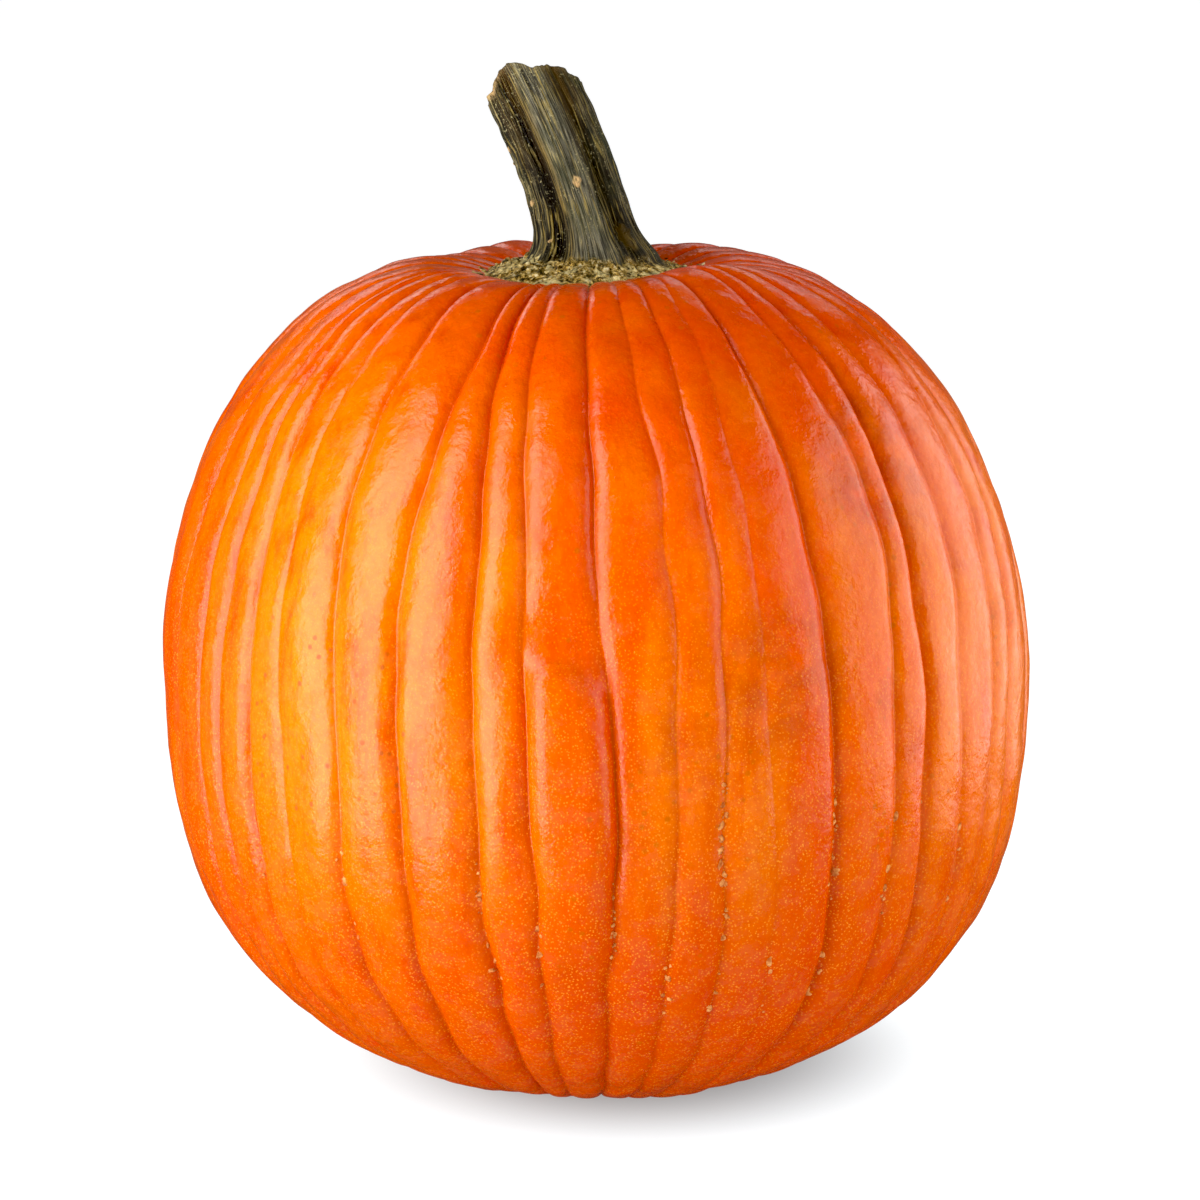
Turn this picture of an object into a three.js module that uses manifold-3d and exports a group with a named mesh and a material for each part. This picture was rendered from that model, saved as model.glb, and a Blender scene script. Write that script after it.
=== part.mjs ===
// A ripe pumpkin as picked: one grown fruit with ribs round it, and the dry woody stem that it grew on.
// Millimetres, +Z up, the front towards -Y. Azimuths are in degrees, 0 at the front and + to the right.
// The origin is the middle of the spot that the fruit rests on.
import * as THREE from "three";
import { mergeVertices } from "three/addons/utils/BufferGeometryUtils.js";
import Module from "manifold-3d";

const wasm = await Module();
wasm.setup();

// Driving dimensions of the fruit
const FRUIT_RADIUS = 151.1; // over the crests of the ribs, at the widest level
const WIDEST_LEVEL = 143.4; // height of the widest level above the resting spot
const SHELL_RISE = 148.4; // from the widest level to the top and to the bottom of the plain shell
const SHOULDER = { fullness: 2.81, roundness: 1.93 };
const BASE = { fullness: 2, roundness: 2.78 };
const CROWN_DIP = { depth: 21.5, radius: 40.5 }; // the hollow that the stem stands in
const CROWN_SWELLS = [
  { x: -7, y: -37, width: 30, height: -3.5 },
  { x: -23, y: 69, width: 22, height: 3.3 },
  { x: 34, y: -41, width: 22, height: 2.4 },
  { x: 44, y: 54, width: 30, height: 1.8 },
]; // the crown isn't even: it is low in front and high at the back
const BLOSSOM_DIP = { depth: 6, radius: 26 }; // the hollow at the blossom end
const LEAN = -0.005; // sideways shift for each millimetre of height above the widest level

// Grooves between the ribs: azimuths at the four latitudes of GROOVE_LATITUDES, then the depth.
const GROOVE_LATITUDES = [54, 24.5, 0, -37.5];
const FRONT_GROOVES = [
  [-74, -71.3, -71.5, -69, 4],
  [-63.5, -62.8, -62.5, -60, 4.5],
  [-58, -56, -56, -53.5, 3],
  [-51, -50, -49, -48, 3.5],
  [-44, -43.6, -41.9, -40.8, 1.5],
  [-34.5, -34.9, -33.6, -31.8, 3.4],
  [-21.3, -24.5, -24.3, -23.3, 4],
  [-16.5, -15, -14.5, -12.6, 5.5],
  [-10.6, -9.1, -7.4, -6.4, 2.6],
  [-1, 0.4, 2.3, 1.6, 3.8],
  [6.5, 9.5, 9.9, 9.2, 1.8],
  [13, 15.4, 15.8, 16.2, 2.2],
  [19.3, 19.9, 21.3, 23.8, 0.9],
  [26.8, 29.1, 30.3, 31.9, 4],
  [38, 41.2, 39.4, 40.7, 2.4],
  [45.2, 46.2, 46.2, 46.8, 4.5],
  [54, 54.7, 53.3, 56, 2.2],
  [66, 65, 61.8, 62.5, 3],
  [75, 71.5, 68.5, 70, 3],
];
const BACK_GROOVES = 16;
const BACK_WANDER = 2.2; // how far a groove at the back strays from even spacing
const BACK_WAVE = 0.5; // share of that by which it also strays along its way
const BACK_DEPTH = { least: 1.8, most: 5.2 };
const BACK_SEED = 4711;
const GROOVE_FADE = 0.6; // power of the radius by which the grooves get shallow at the two ends
const RIB_ROUNDING = 0.45; // share of a groove's depth that belongs to the round of the ribs beside it
const CREASE_WIDTH = 1.4; // degrees in which the sharp part of a groove dies out
const SWELLS = [
  { height: 0.9, round: 2, tilt: 0.8, phase: 0.6 },
  { height: 0.7, round: 3, tilt: -1.7, phase: 2.1 },
  { height: 0.5, round: 7, tilt: 2.9, phase: 4.0 },
];

// Driving dimensions of the stem, heights above the widest level
const STEM_RADIUS = 16;
const STEM_FLARE = { width: 23.6, level: 135.3, rise: 6.1, slant: -1.35 };
const STEM_FOOT = { level: 134.3, sunk: 127, bottom: 121 };
const STEM_BEND = { x: -1.1, from: 140.9, left: 0.0674, back: 0.0215, power: 1.407 };
const STEM_REACH = 230; // level to which the stem would grow on if it weren't cut
const STEM_VALLEYS = [
  { azimuth: -33, depth: 3.4, width: 11 },
  { azimuth: -58, depth: 1.5, width: 6 },
  { azimuth: 28, depth: 1, width: 6 },
  { azimuth: 42, depth: 2.8, width: 10 },
  { azimuth: 111, depth: 2.6, width: 12 },
  { azimuth: 152, depth: 1.2, width: 7 },
  { azimuth: 183, depth: 3.2, width: 11 },
  { azimuth: 236, depth: 2.8, width: 10 },
  { azimuth: 262, depth: 1.4, width: 7 },
];
const CUT = { level: 206.3, front: -9, backSlope: 0.3, bevelFrom: -29, bevelSlope: 1.32 };
const CUT_HOLLOW = 2.5; // how far the pith at the middle of the cut has dried in
const CUT_BORDER = 0.35; // share of the way in over which the cut stays flat
const RIM_BAND = 3; // the last band of skin under the rim of the cut
const SEAT_GAP = 0.3; // between the stem's foot and the skin under it

// Fineness of the two surfaces
const COLUMNS_PER_RIB = 4;
const LATITUDE_STEP = 6;
const EXTRA_LATITUDES = [-81, -75, 69, 75];
const STEM_COLUMNS = 48;
const STEM_LEVELS = [134.3, 135.6, 137, 138.8, 141.5, 145.5, 151, 158, 166, 174, 182, 189, 196];
const HALVINGS = 30;
const WELD = 1e-4; // points nearer than this are one
const SLOPE_STEP = 0.5; // degrees or millimetres over which a slope is taken
const STRETCH_POWER = 4; // how late on its way up the stem's rows stretch to meet the slanted cut

const radians = THREE.MathUtils.degToRad;
const mix = THREE.MathUtils.lerp;

// Even draws between 0 and 1, the same on every run.
function drawsFrom(seed) {
  let state = seed;
  return () => {
    state = (state * 16807) % 2147483647;
    return state / 2147483647;
  };
}

function allGrooves() {
  const draw = drawsFrom(BACK_SEED);
  const first = FRONT_GROOVES.at(-1);
  const last = FRONT_GROOVES[0];
  const back = [];
  for (let i = 1; i <= BACK_GROOVES; i++) {
    const along = i / (BACK_GROOVES + 1);
    const stray = BACK_WANDER * (2 * draw() - 1);
    const groove = GROOVE_LATITUDES.map((_, k) => {
      const even = mix(first[k], last[k] + 360, along);
      return even + stray + BACK_WAVE * BACK_WANDER * (2 * draw() - 1);
    });
    groove.push(mix(BACK_DEPTH.least, BACK_DEPTH.most, draw()));
    back.push(groove);
  }
  return [...FRONT_GROOVES, ...back];
}

// Azimuth of a groove at a latitude: a smooth path through its four azimuths, straight on past them.
function grooveAzimuth(groove, latitude) {
  const at = GROOVE_LATITUDES;
  const slope = (i) => {
    const a = Math.max(i - 1, 0);
    const b = Math.min(i + 1, 3);
    return (groove[b] - groove[a]) / (at[b] - at[a]);
  };
  if (latitude >= at[0]) return groove[0];
  if (latitude <= at[3]) return groove[3];
  const i = at.findIndex((_, k) => latitude >= at[k + 1]);
  const span = at[i + 1] - at[i];
  const t = (latitude - at[i]) / span;
  const startSlope = i === 0 ? 0 : slope(i);
  const endSlope = i === 2 ? 0 : slope(i + 1);
  return (
    groove[i] * (1 + 2 * t) * (1 - t) ** 2 +
    span * startSlope * t * (1 - t) ** 2 +
    groove[i + 1] * t * t * (3 - 2 * t) +
    span * endSlope * t * t * (t - 1)
  );
}

// The plain shell without its ribs: radius and height at a latitude.
function shell(latitude) {
  const radius = FRUIT_RADIUS * Math.max(Math.cos(radians(latitude)), 0);
  const form = latitude >= 0 ? SHOULDER : BASE;
  const dip = latitude >= 0 ? CROWN_DIP : BLOSSOM_DIP;
  const round = (1 - (radius / FRUIT_RADIUS) ** form.fullness) ** (1 / form.roundness);
  const height = SHELL_RISE * round - dip.depth * Math.exp(-((radius / dip.radius) ** 2));
  return new THREE.Vector2(radius, latitude >= 0 ? height : -height);
}

// How much of a groove's depth is left at a share of the way to the next groove.
function grooveShare(share, ribWidth) {
  const crease = Math.exp((-share * ribWidth) / CREASE_WIDTH);
  return (1 - share) ** 2 * (RIB_ROUNDING + (1 - RIB_ROUNDING) * crease);
}

// How far the uneven crown stands above the plain shell at a place.
function crownSwell(x, y) {
  let height = 0;
  for (const s of CROWN_SWELLS) {
    height += s.height * Math.exp(-((x - s.x) ** 2 + (y - s.y) ** 2) / s.width ** 2);
  }
  return height;
}

function skinPoint(grooves, rib, share, latitude) {
  const left = grooves[rib];
  const right = grooves[(rib + 1) % grooves.length];
  const turn = rib + 1 === grooves.length ? 360 : 0;
  const from = grooveAzimuth(left, latitude);
  const to = grooveAzimuth(right, latitude) + turn;
  const azimuth = radians(mix(from, to, share));
  const here = shell(latitude);
  const above = shell(Math.min(latitude + SLOPE_STEP, 90));
  const along = above.sub(shell(Math.max(latitude - SLOPE_STEP, -90)));
  const outward = new THREE.Vector2(along.y, -along.x).normalize();
  const fade = (here.x / FRUIT_RADIUS) ** GROOVE_FADE;
  const sunk =
    fade *
    (left[4] * grooveShare(share, to - from) + right[4] * grooveShare(1 - share, to - from));
  let swell = 0;
  for (const s of SWELLS) {
    swell += s.height * Math.sin(s.round * azimuth + s.tilt * radians(latitude) + s.phase);
  }
  here.addScaledVector(outward, swell * (here.x / FRUIT_RADIUS) - sunk);
  const x = here.x * Math.sin(azimuth);
  const y = -here.x * Math.cos(azimuth);
  if (latitude > 0) here.y += crownSwell(x, y);
  return new THREE.Vector3(x + LEAN * here.y, y, Math.max(here.y + WIDEST_LEVEL, 0));
}

// A closed skin from rings of equal length, from the lowest up, with a point below and one above them.
function closedSkin(rings, lowest, highest) {
  const columns = rings[0].length;
  const positions = [lowest, ...rings.flat(), highest].flatMap((p) => [p.x, p.y, p.z]);
  const top = rings.length * columns + 1;
  const index = [];
  const at = (row, column) => 1 + row * columns + (column % columns);
  for (let c = 0; c < columns; c++) {
    index.push(0, at(0, c + 1), at(0, c));
    for (let r = 0; r + 1 < rings.length; r++) {
      index.push(at(r, c), at(r, c + 1), at(r + 1, c + 1));
      index.push(at(r, c), at(r + 1, c + 1), at(r + 1, c));
    }
    index.push(top, at(rings.length - 1, c), at(rings.length - 1, c + 1));
  }
  const geometry = new THREE.BufferGeometry();
  geometry.setAttribute("position", new THREE.Float32BufferAttribute(positions, 3));
  geometry.setIndex(index);
  return geometry;
}

function fruitGeometry() {
  const grooves = allGrooves();
  const latitudes = [...EXTRA_LATITUDES];
  for (let l = -90 + LATITUDE_STEP; l < 90; l += LATITUDE_STEP) latitudes.push(l);
  latitudes.sort((a, b) => a - b);
  const rings = latitudes.map((latitude) => {
    const ring = [];
    for (let rib = 0; rib < grooves.length; rib++) {
      for (let k = 0; k < COLUMNS_PER_RIB; k++) {
        ring.push(skinPoint(grooves, rib, k / COLUMNS_PER_RIB, latitude));
      }
    }
    return ring;
  });
  const bottom = skinPoint(grooves, 0, 0, -90);
  const top = skinPoint(grooves, 0, 0, 90);
  return closedSkin(rings, bottom, top);
}

// Middle of the stem at a height above the widest level: upright in the crown, then bent left and back.
function stemMiddle(level) {
  const bent = Math.max(level - STEM_BEND.from, 0) ** STEM_BEND.power;
  return new THREE.Vector3(
    STEM_BEND.x - STEM_BEND.left * bent,
    STEM_BEND.back * bent,
    level,
  );
}

// Radius of the stem: a flared foot, with valleys running all the way up between rounded ridges.
function stemRadius(azimuth, level) {
  const rise = STEM_FLARE.rise + STEM_FLARE.slant * Math.sin(radians(azimuth));
  const flare = STEM_FLARE.width * Math.exp(-(level - STEM_FLARE.level) / rise);
  let radius = STEM_RADIUS + flare;
  for (const valley of STEM_VALLEYS) {
    const away = Math.abs(((azimuth - valley.azimuth + 540) % 360) - 180);
    radius -= valley.depth * Math.exp(-((away / valley.width) ** 2));
  }
  return radius;
}

function stemPoint(azimuth, level) {
  const middle = stemMiddle(level);
  const above = stemMiddle(level + SLOPE_STEP);
  const along = above.sub(stemMiddle(level - SLOPE_STEP)).normalize();
  const right = new THREE.Vector3(0, 1, 0).cross(along).normalize();
  const back = along.clone().cross(right);
  const radius = stemRadius(azimuth, level);
  return middle
    .addScaledVector(right, radius * Math.sin(radians(azimuth)))
    .addScaledVector(back, -radius * Math.cos(radians(azimuth)));
}

// Height of the knife cut over a point: it falls away to the back, and more steeply at the left.
function cutLevel(point) {
  const plain = CUT.level - CUT.backSlope * (point.y - CUT.front);
  const bevel = plain - CUT.bevelSlope * (CUT.bevelFrom - point.x);
  return Math.min(plain, bevel);
}

// Where a column of the stem meets the cut, found by halving.
function cutPoint(azimuth) {
  let low = STEM_BEND.from;
  let high = STEM_REACH;
  for (let i = 0; i < HALVINGS; i++) {
    const half = (low + high) / 2;
    const point = stemPoint(azimuth, half);
    if (point.z < cutLevel(point)) low = half;
    else high = half;
  }
  return { level: low, point: stemPoint(azimuth, low) };
}

function stemGeometry() {
  const azimuths = Array.from({ length: STEM_COLUMNS }, (_, i) => (360 * i) / STEM_COLUMNS);
  const cuts = azimuths.map(cutPoint);
  const highest = STEM_LEVELS.at(-1);
  const first = STEM_LEVELS[0];
  const sides = STEM_LEVELS.map((level) =>
    azimuths.map((azimuth, i) => {
      const share = (level - first) / (highest - first);
      const stretch = cuts[i].level - RIM_BAND - highest;
      return stemPoint(azimuth, level + stretch * share ** STRETCH_POWER);
    }),
  );
  const foot = azimuths.map((azimuth) => stemPoint(azimuth, STEM_FOOT.level));
  foot.forEach((p) => {
    p.z = STEM_FOOT.sunk;
  });
  const rim = cuts.map((cut) => cut.point);
  const heart = new THREE.Vector3();
  rim.forEach((p) => heart.addScaledVector(p, 1 / rim.length));
  const inner = rim.map((p) => {
    const q = p.clone().lerp(heart, CUT_BORDER);
    q.z = cutLevel(q);
    return q;
  });
  heart.z = cutLevel(heart) - CUT_HOLLOW;
  const bottom = new THREE.Vector3(0, 0, STEM_FOOT.bottom);
  return closedSkin([foot, ...sides, rim, inner], bottom, heart).translate(0, 0, WIDEST_LEVEL);
}

function solidFrom(geometry) {
  const merged = mergeVertices(geometry, WELD);
  return new wasm.Manifold(
    new wasm.Mesh({
      numProp: 3,
      vertProperties: new Float32Array(merged.attributes.position.array),
      triVerts: new Uint32Array(merged.index.array),
    }),
  );
}

function geometryFrom(solid) {
  const mesh = solid.getMesh();
  const geometry = new THREE.BufferGeometry();
  geometry.setAttribute("position", new THREE.BufferAttribute(mesh.vertProperties, 3));
  geometry.setIndex(new THREE.BufferAttribute(mesh.triVerts, 1));
  geometry.computeVertexNormals();
  return geometry;
}

// The stem's foot is hollowed by the crown that it stands on.
function seatedStem(fruit, stem) {
  const crown = fruit.clone().translate(0, 0, SEAT_GAP);
  return solidFrom(stem).subtract(solidFrom(crown));
}

const skinFinish = new THREE.MeshStandardMaterial({ color: "#e4600c", roughness: 0.38, metalness: 0 });
const stemFinish = new THREE.MeshStandardMaterial({ color: "#4c4a33", roughness: 0.85, metalness: 0 });

const fruitShape = fruitGeometry();
fruitShape.computeVertexNormals();
const fruit = new THREE.Mesh(fruitShape, skinFinish);
fruit.name = "fruit";

const stem = new THREE.Mesh(geometryFrom(seatedStem(fruitShape, stemGeometry())), stemFinish);
stem.name = "stem";

const pumpkin = new THREE.Group();
pumpkin.add(fruit, stem);

export default pumpkin;
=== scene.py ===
# A ripe pumpkin on a pale studio floor: the finished skin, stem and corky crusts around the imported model.
# Lengths are in millimetres where a name says nothing else, and are turned to metres where meshes are made.
import math
import random

import bmesh
import bpy
import numpy as np
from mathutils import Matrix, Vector, noise
from mathutils.bvhtree import BVHTree


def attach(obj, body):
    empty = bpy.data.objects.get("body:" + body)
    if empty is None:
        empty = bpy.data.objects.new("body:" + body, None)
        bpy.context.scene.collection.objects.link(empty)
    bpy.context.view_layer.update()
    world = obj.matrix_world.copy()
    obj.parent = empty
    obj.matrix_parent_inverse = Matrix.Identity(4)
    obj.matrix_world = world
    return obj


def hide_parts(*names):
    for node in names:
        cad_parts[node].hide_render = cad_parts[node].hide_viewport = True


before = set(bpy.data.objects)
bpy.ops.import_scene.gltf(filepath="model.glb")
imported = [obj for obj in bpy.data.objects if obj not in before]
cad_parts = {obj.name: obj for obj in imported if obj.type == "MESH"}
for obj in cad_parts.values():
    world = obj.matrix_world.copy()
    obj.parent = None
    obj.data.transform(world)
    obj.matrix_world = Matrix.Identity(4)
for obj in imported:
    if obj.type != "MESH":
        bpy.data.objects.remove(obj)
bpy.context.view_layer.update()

MM = 0.001

# The fruit's shell
FRUIT_RADIUS = 151.1
WIDEST_LEVEL = 143.4
SHELL_RISE = 148.4
SHOULDER = {"fullness": 2.81, "roundness": 1.93}
BASE = {"fullness": 2.0, "roundness": 2.78}
CROWN_DIP = {"depth": 21.5, "radius": 40.5}
CROWN_SWELLS = (
    {"x": -7, "y": -37, "width": 30, "height": -3.5},
    {"x": -23, "y": 69, "width": 22, "height": 3.3},
    {"x": 34, "y": -41, "width": 22, "height": 2.4},
    {"x": 44, "y": 54, "width": 30, "height": 1.8},
)
BLOSSOM_DIP = {"depth": 6.0, "radius": 26.0}
LEAN = -0.005

# Grooves between the ribs: azimuths at four latitudes, 0 at the front and + to the right, then the depth
GROOVE_LATITUDES = (54, 24.5, 0, -37.5)
FRONT_GROOVES = (
    (-74, -71.3, -71.5, -69, 4),
    (-63.5, -62.8, -62.5, -60, 4.5),
    (-58, -56, -56, -53.5, 3),
    (-51, -50, -49, -48, 3.5),
    (-44, -43.6, -41.9, -40.8, 1.5),
    (-34.5, -34.9, -33.6, -31.8, 3.4),
    (-21.3, -24.5, -24.3, -23.3, 4),
    (-16.5, -15, -14.5, -12.6, 4.4),
    (-10.6, -9.1, -7.4, -6.4, 2.6),
    (-1, 0.4, 2.3, 1.6, 3.8),
    (6.5, 9.5, 9.9, 9.2, 1.8),
    (13, 15.4, 15.8, 16.2, 2.2),
    (19.3, 19.9, 21.3, 23.8, 0.9),
    (26.8, 29.1, 30.3, 31.9, 4),
    (38, 41.2, 39.4, 40.7, 2.4),
    (45.2, 46.2, 46.2, 46.8, 4.5),
    (54, 54.7, 53.3, 56, 2.2),
    (66, 65, 61.8, 62.5, 2.2),
    (75, 71.5, 68.5, 70, 3),
)
BACK_GROOVES = 16
BACK_WANDER = 2.2
BACK_WAVE = 0.5
BACK_DEPTH = (1.8, 5.2)
BACK_SEED = 4711
GROOVE_FADE = 0.6
RIB_ROUNDING = 0.35
CREASE_WIDTH = 1.05
SWELLS = (
    {"height": 0.9, "round": 2, "tilt": 0.8, "phase": 0.6},
    {"height": 0.7, "round": 3, "tilt": -1.7, "phase": 2.1},
    {"height": 0.5, "round": 7, "tilt": 2.9, "phase": 4.0},
)

# Finer form of the skin, which only the finished mesh has
COLUMN_SHARES = (0, 0.02, 0.05, 0.1, 0.17, 0.26, 0.38, 0.5, 0.62, 0.74, 0.83, 0.9, 0.95, 0.98)
SKIN_ROWS = 190
CREASE_ROUND = 0.25
BLISTER = {
    "rib": 9, "side": -0.25, "top": 31.6, "curve": 9.0, "height": 3.0, "edge": 3.2, "fades": -80.0,
    "saddle": 1.9, "saddle_above": 8.0, "saddle_width": 9.0,
}
GROOVE_WIGGLE = {"angle": 0.8, "spacing": 9.0}
CREASE_SHADE = {"width": 1.6, "depth": 4.0}
DIMPLES = {"spacing": 22.0, "height": 1.2, "stretch": 0.6}
WAVES = {"spacing": 8.0, "height": 0.34, "stretch": 0.7}
CALM = {"in_grooves": 0.8, "from": 20.0, "to": 60.0}
SHADE_SEED = 12
BLOSSOM_SCAR = {"radius": 9.0, "height": 0.9, "least": 0.6, "uneven": 0.8, "grain": 1.6}

# Corky warts along the grooves: number of the groove, lowest and highest latitude, how many
WARTS = (
    (4, -20, -4, 6), (6, -22, -5, 8), (8, -22, -7, 13), (9, -24, -12, 6), (10, -20, -7, 15),
    (11, -28, -16, 9), (12, -14, 1, 22), (12, -30, -14, 5), (13, -32, -18, 5), (14, -11, -1, 15),
    (14, -28, -12, 6), (15, -20, -4, 8), (16, -16, -2, 7), (17, -18, -6, 7), (2, -20, -5, 6),
    (20, -15, 0, 9), (22, -20, -4, 10), (24, -24, -6, 12), (26, -18, -3, 9), (28, -20, -2, 10),
    (30, -26, -8, 9), (32, -20, -4, 10), (34, -22, -6, 8),
)
WART = {"size": (0.4, 1.5), "stray": 0.63, "sunk": 0.25, "flatness": 0.75, "seed": 31}

# Form of a wart or a crumb: how uneven it is, the size of its bumps and how far it is drawn out
LUMP = {"uneven": 0.65, "bumps": 1.7, "long": (0.7, 1.7), "wide": (0.7, 1.4)}

# The stem, heights above the widest level
STEM_RADIUS = 16.0
STEM_FLARE = {"width": 23.6, "level": 135.3, "rise": 6.1, "slant": -1.35}
STEM_FOOT = 134.3
STEM_SUNK = 5.0
STEM_BEND = {"x": -1.1, "from": 140.9, "left": 0.0674, "back": 0.0215, "power": 1.407}
STEM_REACH = 230.0
STEM_VALLEYS = (
    (-33, 4.2, 12), (-58, 1.5, 6), (28, 1.0, 6), (42, 2.8, 10), (111, 2.6, 12),
    (152, 1.2, 7), (183, 3.2, 11), (236, 2.8, 10), (262, 1.4, 7),
)
CUT = {"level": 206.3, "front": -9.0, "back_slope": 0.3, "bevel_from": -29.0, "bevel_slope": 1.32}
CUT_HOLLOW = 2.5
CUT_ROUGHNESS = 0.8
CUT_RINGS = (0.04, 0.1, 0.18, 0.27, 0.36, 0.45, 0.54, 0.63, 0.72, 0.81, 0.9)
FRAYED = {"height": 0.35, "width": 1.6}
CUT_PEAKS = (
    (-72, 1.3, 14), (-34, 2.7, 17), (-3, 1.3, 12), (13, -0.5, 5), (42, 1.7, 18), (85, -1.8, 15),
    (120, 1.0, 20), (215, -1.0, 16),
)
STEM_COLUMNS = 360
STEM_ROWS = 200
CORK_TOP = 142.5
CORK_BORDER = ((-95, 3.0, 45), (60, -3.0, 40), (190, 2.0, 50))
CRUMBS = {
    "count": 600, "inner": 21.0, "outer": 44.0, "size": (0.3, 2.0), "sunk": 0.1, "flatness": 0.5, "seed": 77,
    "reach": 36.5, "aside": 5.0, "ragged": 3.0, "rim": 4.0, "rim_size": 0.6, "border": 1.5, "below": 0.8,
    "drop": 155.0,
}

# Noise layers of the stem's relief: height, width and seed of each
FIBRES = ((1.0, 4.6, 3), (0.55, 1.9, 4), (0.4, 0.9, 12))
KNOTS = ((0.5, 7, 8),)
CORK_RAGGED = ((2.6, 7, 7), (1.5, 2.6, 13))
CRUST_LUMPS = ((0.9, 1.1, 6), (0.9, 4.5, 14))
CRUST_GRAIN = {"height": 1.3, "width": 2.3, "seed": 5}
CORK_RADIUS = 25

# How much shorter a pattern is drawn than it is: the fibres up the stem, the skin's patches along a rib
FIBRE_DRAW = 0.05
RIB_DRAW = 0.16

# Marks on the stem's side: azimuth, level, radius and how much they are drawn out upwards
PALE_SPOTS = (
    (8, 165.8, 1.3, 1.2), (-65, 164.2, 0.6, 1.8), (-44, 150, 0.5, 1.0), (-69, 183.2, 0.5, 2.0),
    (-92, 179, 0.6, 1.6), (130, 172, 1.2, 1.3), (205, 158, 1.0, 1.2),
)
PETIOLE_SCARS = ((45, 146.5, 2.1, 1.7), (160, 148, 2.2, 1.7))
SCAR_RIM = 0.7
SCAR_HOLLOW = 0.5
PALE_RISE = 0.5
PALE_EDGE = {"deep": 2.6, "thin": 0.3, "all_round": 0.08, "share": 0.8, "middle": -58, "width": 20}
LIT_FLANK = {"middle": -19, "width": 5}
VALLEY_SHADE = {"depth": 3.0, "spread": 1.25}

# Regions of the skin in front: the middle of each and its radius
FRECKLED = (-82, -118, 150, 60)
SMUDGED = (60, -136, 168, 30)
FLUSHED = (97, -98, 234, 42)

# The studio: the camera, the room and the floor, whose glow is least in a patch under the fruit as a painted
# shadow
CAMERA = {"lens": 102, "film": 36, "elevation": 11, "distance": 1183.5, "x": 1.9, "z": 165.6}
DARKEST = 0.011
ROOM_FRONT = 0.03
ROOM_BACK = 0.1
FLOOR = {"half": 40000, "level": -0.05}
FLOOR_GLOW_AND_SHADOW = {"x": 16, "y": 12, "inner": 45, "outer": 120, "least": 0.33}

# Soft panels, in metres: azimuth, distance, level, width, height and brightness, 1 being white paper
PANELS = {
    "left_panel": (-50, 0.62, 0.38, 0.46, 1.08, 4.8),
    "far_left_panel": (-92, 0.62, 0.27, 0.3, 0.6, 0.2),
    "right_panel": (96, 0.9, 0.36, 1.36, 1.0, 2.1),
    "crown_strip": (-150, 1.2, 0.9, 0.8, 0.25, 2.2),
    "crown_light": (165, 1.2, 0.9, 0.6, 0.25, 1.3),
}
FILLS = {
    "front_fill": (35, 1.4, 1.0, 1.24, 1.24, 1.9),
    "back_fill": (180, 1.4, 1.0, 1.24, 1.24, 0.9),
}


# Even draws between 0 and 1, the same on every run.
def draws_from(seed):
    factor, span = 16807, 2147483647
    state = seed
    while True:
        state = (state * factor) % span
        yield state / span


def all_grooves():
    draw = draws_from(BACK_SEED)
    first, last = FRONT_GROOVES[-1], FRONT_GROOVES[0]
    back = []
    for i in range(1, BACK_GROOVES + 1):
        along = i / (BACK_GROOVES + 1)
        stray = BACK_WANDER * (2 * next(draw) - 1)
        groove = []
        for k in range(4):
            even = first[k] + (last[k] + 360 - first[k]) * along
            groove.append(even + stray + BACK_WAVE * BACK_WANDER * (2 * next(draw) - 1))
        groove.append(BACK_DEPTH[0] + (BACK_DEPTH[1] - BACK_DEPTH[0]) * next(draw))
        back.append(groove)
    return np.array([list(g) for g in FRONT_GROOVES] + back, float)


# Azimuth of every groove at a latitude: a smooth path through its four azimuths.
def groove_azimuths(grooves, latitude):
    at = GROOVE_LATITUDES
    if latitude >= at[0]:
        return grooves[:, 0]
    if latitude <= at[3]:
        return grooves[:, 3]
    i = next(k for k in range(3) if latitude >= at[k + 1])
    span = at[i + 1] - at[i]
    t = (latitude - at[i]) / span

    def slope(k):
        if k in (0, 3):
            return 0 * grooves[:, k]
        return (grooves[:, k + 1] - grooves[:, k - 1]) / (at[k + 1] - at[k - 1])

    start = grooves[:, i] * (1 + 2 * t) * (1 - t) ** 2 + span * slope(i) * t * (1 - t) ** 2
    end = grooves[:, i + 1] * t * t * (3 - 2 * t) + span * slope(i + 1) * t * t * (t - 1)
    return start + end


# Azimuths of the grooves at a latitude with the small wiggle that each has.
def groove_lines(grooves, latitude):
    along = latitude / GROOVE_WIGGLE["spacing"]
    wiggle = [noise.noise(Vector((along, 7.3 * number, 0))) for number in range(len(grooves))]
    return groove_azimuths(grooves, latitude) + GROOVE_WIGGLE["angle"] * np.array(wiggle)


# How far the uneven crown stands above the plain shell at a place.
def crown_swell(x, y):
    swell = 0
    for s in CROWN_SWELLS:
        away = (x - s["x"]) ** 2 + (y - s["y"]) ** 2
        swell = swell + s["height"] * np.exp(-away / s["width"] ** 2)
    return swell


# The plain shell without its ribs: radius and height at a latitude.
def shell(latitude):
    radius = FRUIT_RADIUS * max(math.cos(math.radians(latitude)), 0)
    form, dip = (SHOULDER, CROWN_DIP) if latitude >= 0 else (BASE, BLOSSOM_DIP)
    roundness = (1 - (radius / FRUIT_RADIUS) ** form["fullness"]) ** (1 / form["roundness"])
    height = SHELL_RISE * roundness - dip["depth"] * math.exp(-((radius / dip["radius"]) ** 2))
    return radius, height if latitude >= 0 else -height


def groove_share(share, rib_width):
    away = np.hypot(share * rib_width, CREASE_ROUND) - CREASE_ROUND
    return (1 - share) ** 2 * (RIB_ROUNDING + (1 - RIB_ROUNDING) * np.exp(-away / CREASE_WIDTH))


def smooth_step(low, high, value):
    t = np.clip((value - low) / (high - low), 0, 1)
    return t * t * (3 - 2 * t)


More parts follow.
